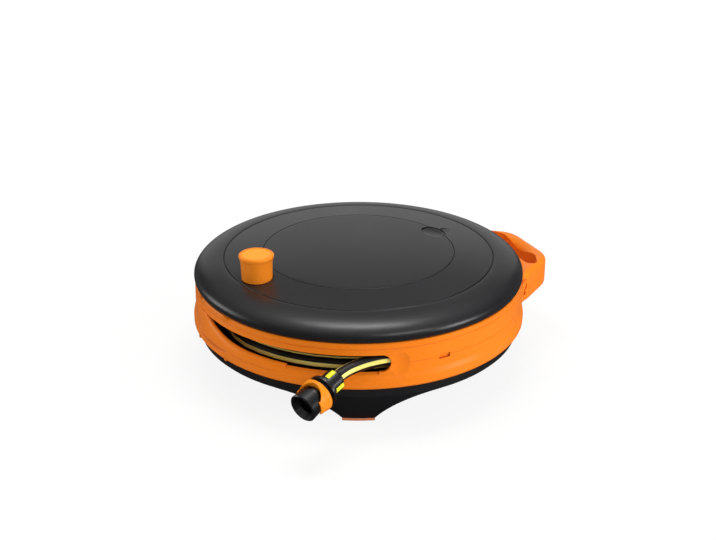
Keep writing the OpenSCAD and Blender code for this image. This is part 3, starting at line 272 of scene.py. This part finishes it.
def hoseFinish():  # the stripes' middles lie at v = 0 and at each equal share of the way round
    f = Finish(bpy.data.materials.new("hose"))
    turned = f.node("SeparateXYZ", {}, {0: f.node("UVMap", {"uv_map": "along"})}, out=1)
    share = f.node("Math", {"operation": "FRACT"}, {0: turned * skin["stripes"] + 0.5}) - 0.5
    stripe = f.between(f.node("Math", {"operation": "ABSOLUTE"}, {0: share}), *skin["stripeEdge"], (1.0, 0.0))
    fine = f.noise(skin["grainScale"], 2, 0.6)
    cloud = f.between(f.noise(skin["cloudScale"], 3, 0.6), 0.3, 0.7)
    tint = f.mixed(stripe, f.mixed(cloud, *skin["black"]), f.mixed(cloud, *skin["yellow"]))
    return f.surface({
        "Base Color": tint, "Roughness": f.between(fine, 0.3, 0.7, skin["roughness"]),
        "Specular IOR Level": skin["specular"], "Normal": f.bump(fine, skin["grain"], skin["grainHeight"]),
    })


finishes["hose"] = hoseFinish()
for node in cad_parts.values():
    node.data.materials[0] = finishes[node.data.materials[0].name.split(".")[0]]
print("finishes ready")


# Mesh helpers

def keep(name, mesh, finish, body, slot, *nodes):
    piece = linked(name, mesh)
    mesh.materials.clear()
    mesh.materials.append(finish)
    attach(piece, body)
    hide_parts(*nodes)
    return piece


def meshed(bm, name):
    mesh = bpy.data.meshes.new(name)
    bm.to_mesh(mesh)
    bm.free()
    return mesh


def shaded(mesh, sharpFrom=28):  # smooth, but for edges that turn by more than sharpFrom degrees
    mesh.shade_smooth()
    mesh.set_sharp_from_angle(angle=math.radians(sharpFrom))
    return mesh


def splined(points, count):  # a smooth curve through points, as evenly spaced ones
    curve = bpy.data.curves.new("line", "CURVE")
    curve.dimensions = "3D"
    spline = curve.splines.new("BEZIER")
    spline.bezier_points.add(len(points) - 1)
    for bezier, p in zip(spline.bezier_points, points):
        bezier.co = p
        bezier.handle_left_type = bezier.handle_right_type = "AUTO"
    curve.resolution_u = 24
    line = linked("line", curve)
    dense = [v.co.copy() for v in line.to_mesh().vertices]
    line.to_mesh_clear()
    bpy.data.objects.remove(line)
    lengths = [0.0]
    for a, b in zip(dense, dense[1:]):
        lengths.append(lengths[-1] + (b - a).length)
    even, i = [], 0
    for k in range(count):
        want = lengths[-1] * k / (count - 1)
        while i < len(lengths) - 2 and lengths[i + 1] < want:
            i += 1
        even.append(dense[i].lerp(dense[i + 1], (want - lengths[i]) / max(1e-9, lengths[i + 1] - lengths[i])))
    return even


def lengthOf(line):
    return sum((b - a).length for a, b in zip(line, line[1:]))


def tubeAlong(points, radius, sides, stripeAt):  # stripeAt gives how far round the stripe lies, at each point
    bm = bmesh.new()
    uv = bm.loops.layers.uv.new("along")
    rings, runs = [], [0.0]
    for a, b in zip(points, points[1:]):
        runs.append(runs[-1] + (b - a).length)
    for i, p in enumerate(points):
        heading = (points[min(i + 1, len(points) - 1)] - points[max(i - 1, 0)]).normalized()
        side = heading.cross(Vector((0, 0, 1))).normalized()
        frameAt = Matrix.Translation(p) @ Matrix((side, side.cross(heading), heading)).transposed().to_4x4()
        rings.append(bmesh.ops.create_circle(bm, segments=sides, radius=radius, matrix=frameAt)["verts"])
    for i, (a, b) in enumerate(zip(rings, rings[1:])):
        for k in range(sides):
            j = (k + 1) % sides
            face = bm.faces.new((a[k], a[j], b[j], b[k]))
            for loop, (u, v) in zip(face.loops, ((k, i), (k + 1, i), (k + 1, i + 1), (k, i + 1))):
                loop[uv].uv = (runs[v], u / sides - stripeAt(v))
    bm.faces.new(list(reversed(rings[0])))
    bm.faces.new(rings[-1])
    for face in bm.faces:
        face.smooth = len(face.verts) == 4
    bmesh.ops.recalc_face_normals(bm, faces=bm.faces)
    return meshed(bm, "tube")


# The free stretch of hose and what is on its end

hose = {
    "diameter": 17.5 * mm, "sides": 24, "rings": 60, "stripe": 0.218,
    "route": [(-8.046, -230.410, 110.5), (-16.791, -230.104, 110.5), (-40.026, -226.998, 110.5),
              (-71.053, -222.637, 110.2), (-102.837, -223.584, 108.5)],
    "end": (-135.458, -233.677, 103.4), "heading": -153.0, "dip": 12.5,
    "straight": 8.75 * mm, "intoNut": 12 * mm,
    "onEnd": ["connector_nut", "connector_grips", "connector_body", "connector_seal", "hose_gripper",
              "connector_collar"],
}


def makeFreeHose():
    heading = pointing(hose["heading"], -hose["dip"])
    end = onAxis(hose["end"])
    route = [onAxis(p) for p in hose["route"]]
    route += [end - heading * hose["straight"], end + heading * hose["intoNut"]]
    line = splined(route, hose["rings"])
    mesh = tubeAlong(line, hose["diameter"] / 2, hose["sides"], lambda i: hose["stripe"])
    piece = keep("freeHose", mesh, finishes["hose"], "housing", "hose", "free_hose")
    length = lengthOf(line)
    print("free hose", round(length, 3), "m")


makeFreeHose()

# The wound hose: six layers of turns, each climbing to the next, and the straight end inside the hub

winding = {
    "inner": 116.05, "gap": 19.1, "low": 91.25, "high": 154.25, "pitch": 18.0, "turns": 3.5, "start": 200.0,
    "climbs": (40.0, 75.0, 75.0, 75.0, 75.0), "firstTurns": 1 / 3, "perTurn": 48, "sides": 16,
    "stripe": 0.765, "stripeTurn": 0.115,
}
tail = {"turn": 100.0, "from": 48.0, "to": 106.8, "steps": 12, "twist": 0.02}


def eased(t):  # 0 to 1, starting and ending gently
    t = max(0.0, min(1.0, t))
    return t * t * (3 - 2 * t)


def makeWinding():
    w = winding
    line, turnsAt = [], []
    step = 360 / w["perTurn"]
    layers = len(w["climbs"]) + 1

    def put(turn, radius, height):
        line.append(around(radius, turn, height))
        turnsAt.append((turn - w["start"]) / 360)

    # from the outer end inwards, then turned round
    turn = w["start"] + 360 * w["turns"]
    for layer in range(layers):
        radius = w["inner"] + w["gap"] * (layers - 1 - layer)
        rising = layer % 2 == 0
        turns = w["firstTurns"] if layer == layers - 1 else w["turns"]
        count = round(turns * w["perTurn"])
        edge = w["high"] if rising else w["low"]
        for i in range(count + 1):
            put(turn - i * step, radius, edge - (w["pitch"] if rising else -w["pitch"]) * i / w["perTurn"])
        turn -= count * step
        if layer < layers - 1:
            climb = w["climbs"][layer]
            rows = round(climb / step)
            for i in range(1, rows):
                inwards = w["gap"] * eased(i / rows)
                put(turn - i * climb / rows, radius - inwards, w["low"] if rising else w["high"])
            turn -= climb
    print("inner end at", round(turn % 360, 1))
    line.reverse()
    turnsAt.reverse()
    line.append(line[-1] + (line[-1] - line[-2]).normalized() * hose["diameter"])
    turnsAt.append(turnsAt[-1])
    print("wound hose", round(lengthOf(line), 2), "m")
    mesh = tubeAlong(line, hose["diameter"] / 2, w["sides"],
                     lambda i: w["stripe"] - w["stripeTurn"] * turnsAt[i])
    keep("woundHose", mesh, finishes["hose"], "drum", "hose", "hose_winding", "hose_core")


def makeTail():
    low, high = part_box("hose_lead")
    height = (low.z + high.z) / 2 / mm
    step = (tail["to"] - tail["from"]) / tail["steps"]
    line = [around(tail["from"] + step * i, tail["turn"], height) for i in range(tail["steps"] + 1)]
    mesh = tubeAlong(line, hose["diameter"] / 2, hose["sides"], lambda i: tail["twist"] * i)
    keep("hoseTail", mesh, finishes["hose"], "drum", "hose", "hose_lead")


makeWinding()
makeTail()
print("hose ready")


# Solids about the drum's axis, and cuts in them

def spun(profile, steps, closed=True):  # a profile of distances and heights, spun all the way round
    bm = bmesh.new()
    verts = [bm.verts.new(onAxis((r, 0, z))) for r, z in profile]
    pairs = list(zip(verts, verts[1:])) + ([(verts[-1], verts[0])] if closed else [])
    edges = [bm.edges.new(pair) for pair in pairs]
    bmesh.ops.spin(bm, geom=verts + edges, cent=(axisX, 0, 0), axis=(0, 0, 1), angle=2 * math.pi, steps=steps,
                   use_merge=True)
    bmesh.ops.remove_doubles(bm, verts=bm.verts, dist=1e-6)
    bmesh.ops.recalc_face_normals(bm, faces=bm.faces)
    return bm


def slab(inner, outer, low, high, start, end, steps=32):  # a piece of a ring
    bm = bmesh.new()
    corners = ((inner, low), (outer, low), (outer, high), (inner, high))
    face = bm.faces.new([bm.verts.new(around(r, start, z)) for r, z in corners])
    bmesh.ops.spin(bm, geom=[face], cent=(axisX, 0, 0), axis=(0, 0, 1), angle=math.radians(end - start),
                   steps=steps)
    bmesh.ops.recalc_face_normals(bm, faces=bm.faces)
    return shaded(meshed(bm, "slab"))


def raised(bm, faces, height):  # flat faces made into a solid
    made = bmesh.ops.extrude_face_region(bm, geom=faces)["geom"]
    tops = [v for v in made if isinstance(v, bmesh.types.BMVert)]
    bmesh.ops.translate(bm, vec=(0, 0, height * mm), verts=tops)
    bmesh.ops.recalc_face_normals(bm, faces=bm.faces)


def carved(mesh, *cutters, how="DIFFERENCE"):  # the mesh with the cutters' shapes taken out, or joined on
    body = linked(mesh.name, mesh)
    tools = [linked(cutter.name, cutter) for cutter in cutters]
    for tool in tools:
        cut = body.modifiers.new("cut", "BOOLEAN")
        cut.operation, cut.solver, cut.object = how, "EXACT", tool
    bpy.context.view_layer.update()
    made = bpy.data.meshes.new_from_object(body.evaluated_get(bpy.context.evaluated_depsgraph_get()))
    for thing in [body] + tools:
        bpy.data.objects.remove(thing)
    return shaded(made)


def weighted(piece):  # flat faces keep flat shading beside rounded edges
    even = piece.modifiers.new("even shading", "WEIGHTED_NORMAL")
    even.keep_sharp = True
    even.weight = 80


# The finger dish and the line round it, cut in the lid and the cover, and the arrow beside it in the lid

overLid = 4  # how far a cutter reaches above the lid's top
dish = {
    "turn": 7.0, "reach": 135.0, "size": (15.6, 21.8, 3.0), "rise": 0.25, "steps": 64,
    "line": (0.93, 1.05), "lineDepth": 1.7,
    "arrow": [(16.5, 6), (22, 9), (33, 0), (22, -9), (16.5, -6)], "arrowDepth": 2.2,
}


def atDish(height):
    return (Matrix.Translation(onAxis((0, 0, height))) @ Matrix.Rotation(math.radians(dish["turn"]), 4, "Z")
            @ Matrix.Translation((dish["reach"] * mm, 0, 0)))


def dishCutter():
    bm = bmesh.new()
    place = atDish(lidShape["top"] + dish["rise"]) @ Matrix.Diagonal([d * mm for d in dish["size"]] + [1])
    steps = dish["steps"]
    bmesh.ops.create_uvsphere(bm, u_segments=steps, v_segments=steps // 2, radius=1.0, matrix=place)
    return meshed(bm, "dish")


def dishLineCutter():
    bm = bmesh.new()
    place = atDish(lidShape["top"] - dish["lineDepth"])
    for share in dish["line"]:
        oval = Matrix.Diagonal((dish["size"][0] * share * mm, dish["size"][1] * share * mm, 1, 1))
        bmesh.ops.create_circle(bm, segments=dish["steps"], radius=1.0, matrix=place @ oval)
    flat = bmesh.ops.bridge_loops(bm, edges=bm.edges[:])["faces"]
    raised(bm, flat, dish["lineDepth"] + overLid)
    return shaded(meshed(bm, "dish line"))


def arrowCutter():
    bm = bmesh.new()
    place = atDish(lidShape["top"] - dish["arrowDepth"])
    face = bm.faces.new([bm.verts.new(place @ Vector((x * mm, y * mm, 0))) for x, y in dish["arrow"]])
    raised(bm, [face], dish["arrowDepth"] + overLid)
    return meshed(bm, "arrow")


# The hub cover and the lid, spun from their profiles

coverShape = {
    "edge": 142.3, "foot": 170.5, "round": 0.8, "roundMiddle": (0.25, 0.3), "crown": 2.1, "crownSteps": 24,
    "collar": (101.3, 103.3), "collarFoot": 160.2,
}
lidShape = {
    "steps": 256, "wall": 3.0, "inner": 105.0, "under": 167.2, "seat": 170.2, "top": 173.9,
    "rim": 142.9, "rimRound": 0.9, "rimMiddle": (0.25, 0.35),
    "crease": 200.0, "creaseTop": 168.6, "groove": 1.0, "grooveFloor": 0.35, "grooveDepth": 1.3,
    "shoulder": 1.0, "shoulderDrops": (0.25, 0.3), "edgeFrom": 1.6,
    "edge": 245.0, "edgeSteps": 22, "waist": 147.0, "foot": 140.0, "tuck": 4.5, "tuckSteps": 6,
    "pocket": 23.6, "pocketDepth": 0.3, "pocketSteps": 96,
}


def slopeAt(r):  # the lid's height between its rim and its crease
    s, start = lidShape, coverShape["edge"]
    return s["top"] + (s["creaseTop"] - s["top"]) * (r - start) / (s["crease"] - start)


def edgeLine(inset):  # the rounded edge, from the crease down to the waist
    s = lidShape
    turns = [math.pi / 2 * i / s["edgeSteps"] for i in range(1, s["edgeSteps"] + 1)]
    return [(s["crease"] + (s["edge"] - inset - s["crease"]) * math.sin(t),
             s["waist"] + (s["creaseTop"] - inset - s["waist"]) * math.cos(t)) for t in turns]


def tuckLine(inset):  # the skirt below the waist, drawn in towards its foot
    s = lidShape
    turns = [math.radians(90 * i / s["tuckSteps"]) for i in range(1, s["tuckSteps"] + 1)]
    return [(s["edge"] - inset - s["tuck"] * (1 - math.cos(t)),
             s["waist"] - (s["waist"] - s["foot"]) * math.sin(t)) for t in turns]


def knobPocket():
    s = lidShape
    low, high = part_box("knob")
    bottom, top = low.z / mm - s["pocketDepth"], s["top"] + overLid
    profile = [(0, bottom), (s["pocket"], bottom), (s["pocket"], top), (0, top)]
    bm = spun(profile, s["pocketSteps"], closed=False)
    middle = (low + high) / 2
    bmesh.ops.translate(bm, vec=(middle.x - axisX, middle.y, 0), verts=bm.verts)
    return shaded(meshed(bm, "pocket"))


def makeLid():
    s = lidShape
    rim, crease, wall = s["rim"], s["crease"], s["wall"]
    rimAcross, rimDown = s["rimMiddle"]
    groove, bottom = s["groove"], s["creaseTop"] - s["grooveDepth"]
    innerDrop, outerDrop = s["shoulderDrops"]
    shoulder = crease - groove - s["shoulder"]
    profile = [
        (s["inner"], s["under"]), (s["inner"], s["seat"]), (rim, s["seat"]), (rim, s["top"] - s["rimRound"]),
        (rim + rimAcross, s["top"] - rimDown), (rim + s["rimRound"], slopeAt(rim + s["rimRound"])),
        (shoulder, slopeAt(shoulder)), (crease - groove, slopeAt(crease - groove) - innerDrop),
        (crease - s["grooveFloor"], bottom), (crease + s["grooveFloor"], bottom),
        (crease + groove, s["creaseTop"] - outerDrop),
    ]
    profile += [p for p in edgeLine(0) if p[0] > crease + s["edgeFrom"]] + tuckLine(0)
    profile += tuckLine(wall)[::-1] + edgeLine(wall)[::-1]
    profile += [(crease, s["creaseTop"] - wall), (rim + wall, slopeAt(rim + wall) - wall),
                (rim + wall, s["under"])]
    mesh = shaded(meshed(spun(profile, s["steps"]), "lid"))
    mesh = carved(mesh, knobPocket(), dishCutter(), dishLineCutter(), arrowCutter())
    weighted(keep("lidShell", mesh, finishes["lid_plastic"], "drum", "lid_plastic", "lid"))


def makeCover():
    s = coverShape
    edge, foot, top, steps = s["edge"], s["foot"], lidShape["top"], s["crownSteps"]
    inside, outside = s["collar"]
    across, down = s["roundMiddle"]
    profile = [
        (0, foot), (inside, foot), (inside, s["collarFoot"]), (outside, s["collarFoot"]), (outside, foot),
        (edge, foot), (edge, top - s["round"]), (edge - across, top - down), (edge - s["round"], top),
    ]
    shares = [i / steps for i in range(steps - 1, -1, -1)]
    profile += [(edge * share, top + s["crown"] * (1 - share ** 2)) for share in shares]
    mesh = shaded(meshed(spun(profile, lidShape["steps"], closed=False), "cover"))
    mesh = carved(mesh, dishCutter(), dishLineCutter())
    weighted(keep("hubCover", mesh, finishes["lid_plastic"], "cover", "lid_plastic", "hub_cover"))


makeLid()
makeCover()
print("lid ready")

# The housing's shells, with the rolled lip that runs along the hose window and into the wall

lip = {  # its edge is a list of turns and heights
    "edge": [(-200, 122.6), (-176, 122.6), (-172.8, 116.2), (-169.2, 111.6), (-165, 107.0), (-160.9, 103.8),
             (-156.5, 101.8), (-152.3, 100.9), (-146.4, 100.4), (-137.7, 99.6)],
    "from": -199, "to": -137.7, "step": 0.7, "inside": 240.9, "wall": 244.15, "bulge": 248.2, "foot": 88.8,
    "tip": -176.0, "tipStart": 2.5, "tipRun": 4, "fade": 20.0, "proud": 0.4, "sunk": (0.3, 0.8),
    "roll": 12, "power": 0.72, "endRun": 5.0, "endThin": 1.9, "sill": 97.5, "sillFall": 6.2,
    "root": 1.0, "rootOut": 0.9, "rootIn": 0.2,
}
windowFloor = {  # what is cleared behind the window, in each shell
    "walls": (228.0, 240.6), "turns": (-176.4, -138.0),
    "lower_shell": (95.2, 109.5), "upper_shell": (107.5, 122.7),
}


def between(table, at):  # a value read between the rows of a table
    for (a, one), (b, two) in zip(table, table[1:]):
        if at <= b:
            return one + (two - one) * max(0.0, at - a) / (b - a)
    return table[-1][1]


def lipProfile(turn):  # the lip's section at a turn, as distances and heights
    w = lip
    top = between(w["edge"], turn)
    start = w["inside"] + (w["wall"] - w["inside"]) * eased((w["tip"] + w["tipStart"] - turn) / w["tipRun"])
    full = eased((turn - w["tip"] + w["fade"]) / w["fade"])
    last = eased((turn - w["to"] + w["endRun"]) / w["endRun"])
    least = w["wall"] + w["proud"]
    out = least + (w["bulge"] - least) * full - w["endThin"] * last
    sunkIn, sunkDown = w["sunk"]
    line = [(start - sunkIn, top - sunkDown)]
    for k in range(w["roll"] + 1):
        a = math.pi / 2 * k / w["roll"]
        across = math.sin(a) ** w["power"]
        height = w["foot"] + (top - w["foot"]) * math.cos(a)
        sill = w["sill"] - w["sillFall"] * across
        line.append((start + (out - start) * across, height + (sill - height) * across * last))
    root = w["foot"] - w["root"]
    return line + [(out - w["rootOut"], root), (w["inside"] - w["rootIn"], root)]


def lipMesh():
    bm = bmesh.new()
    loops = []
    count = round((lip["to"] - lip["from"]) / lip["step"])
    for i in range(count + 1):
        turn = lip["from"] + (lip["to"] - lip["from"]) * i / count
        ring = [bm.verts.new(around(r, turn, z)) for r, z in lipProfile(turn)]
        loops.append([bm.edges.new((ring[k - 1], ring[k])) for k in range(len(ring))])
    for one, two in zip(loops, loops[1:]):
        bmesh.ops.bridge_loops(bm, edges=one + two)
    bmesh.ops.holes_fill(bm, edges=loops[0] + loops[-1])
    bmesh.ops.recalc_face_normals(bm, faces=bm.faces)
    return shaded(meshed(bm, "lip"))


def onLip(p):  # whether a point of a shell lies on the lip
    turn = math.degrees(math.atan2(p.y, p.x - axisX))
    turn -= 360 if turn > 0 else 0
    far = math.hypot(p.x - axisX, p.y)
    return lip["from"] < turn < lip["to"] and far > lip["inside"] * mm and p.z > lip["foot"] * mm


def copied(node):  # a CAD node's mesh, with its loose triangles joined
    bm = bmesh.new()
    bm.from_mesh(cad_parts[node].data)
    bmesh.ops.remove_doubles(bm, verts=bm.verts, dist=1e-5)
    return shaded(meshed(bm, node))


def makeShell(name, node, *joined):  # its flat faces are shaded flat, and only the lip is smooth
    mesh = carved(copied(node), slab(*windowFloor["walls"], *windowFloor[node], *windowFloor["turns"]))
    if joined:
        mesh = carved(mesh, *joined, how="UNION")
    mesh.polygons.foreach_set("use_smooth", [onLip(p.center) for p in mesh.polygons])
    keep(name, mesh, finishes["housing_plastic"], "housing", "housing_plastic", node)


makeShell("lowerShell", "lower_shell", lipMesh())
makeShell("upperShell", "upper_shell")
print("housing ready")

# Floor, backdrop and lamps

ground = {
    "size": 12, "colour": (0.8, 0.8, 0.8, 1), "inGloss": (0.08, 0.08, 0.085, 1),
    "glow": 1.04, "glowNear": 0.84, "near": 0.3, "far": 1.0,  # the camera sees it all white beyond far
}
studio = {
    "fill": 0.38, "backdropTop": 0.0, "darkFrom": 0.16, "horizon": 0.3, "above": 0.04,
    "ceiling": 1.35, "ceilingCurve": 3.2,
}
lamps = {  # turn seen from above and angle upwards, distance, size and power
    "overhead": {"turn": 66, "rise": 91, "far": 1.55, "size": (0.85, 0.42), "power": 13},
    "back": {"turn": 66, "rise": 15, "far": 0.80, "size": (1.3, 0.42), "power": 1.0},
    "right": {"turn": -50, "rise": 7, "far": 2.0, "size": (0.6, 0.5), "power": 15},
    "left": {"turn": 150, "rise": 7, "far": 2.0, "size": (1.0, 0.6), "power": 9},
    "front": {"turn": -82, "rise": 28, "far": 2.4, "size": (1.2, 0.6), "power": 13},
}
lampTarget = Vector((axisX, 0, 0.12))


def makeFloor():
    bm = bmesh.new()
    bmesh.ops.create_grid(bm, x_segments=2, y_segments=2, size=ground["size"])
    floor = linked("floor", meshed(bm, "floor"))
    f = Finish(bpy.data.materials.new("floor white"))
    seen = f.node("LightPath", out="Is Camera Ray")
    gloss = f.node("LightPath", out="Is Glossy Ray")
    matte = f.node("BsdfDiffuse", {}, {"Color": f.mixed(gloss, ground["colour"], ground["inGloss"])})
    bright = f.node("Emission", {}, {"Color": (1, 1, 1, 1), "Strength": ground["glow"]})
    away = f.node("VectorMath", {"operation": "LENGTH"}, {0: f.place()}, out="Value")
    plain = f.between(away, ground["near"], ground["far"], (ground["glowNear"], 1.0))
    f.node("OutputMaterial", {}, {0: f.node("MixShader", {}, {0: seen * plain, 1: matte, 2: bright})})
    floor.data.materials.append(f.owner)


def makeWorld():  # white to the camera, a pale horizon and ceiling to gloss, and a soft fill elsewhere
    s = studio
    bpy.context.scene.world = bpy.data.worlds.new("studio")
    f = Finish(bpy.context.scene.world)
    height = f.node("SeparateXYZ", {}, {0: f.node("TexCoord", out="Generated")}, out=2)
    backdrop = f.node("MapRange", {"clamp": True, "interpolation_type": "SMOOTHSTEP"},
                      {0: height, 1: s["backdropTop"], 2: s["darkFrom"], 3: s["horizon"], 4: s["above"]})
    upwards = f.node("Math", {"operation": "MAXIMUM"}, {0: height, 1: 0.0})
    ceiling = f.node("Math", {"operation": "POWER"}, {0: upwards, 1: s["ceilingCurve"]}) * s["ceiling"]
    gloss = f.node("LightPath", out="Is Glossy Ray")
    seen = f.node("LightPath", out="Is Camera Ray")
    inGloss = f.node("Mix", {"data_type": "FLOAT"}, {0: gloss, 2: s["fill"], 3: ceiling + backdrop})
    strength = f.node("Mix", {"data_type": "FLOAT"}, {0: seen, 2: inGloss, 3: 1.0})
    f.node("OutputWorld", {}, {0: f.node("Background", {}, {"Color": (1, 1, 1, 1), "Strength": strength})})


def makeLamps():
    for name, lamp in lamps.items():
        light = bpy.data.lights.new(name, "AREA")
        light.shape = "RECTANGLE"
        light.size, light.size_y = lamp["size"]
        light.energy = lamp["power"]
        made = linked(name, light)
        made.visible_camera = False
        aimed(made, lampTarget + pointing(lamp["turn"], lamp["rise"]) * lamp["far"], lampTarget)


makeFloor()
makeWorld()
makeLamps()
bpy.context.scene.view_settings.view_transform = "Standard"
print("stage ready")
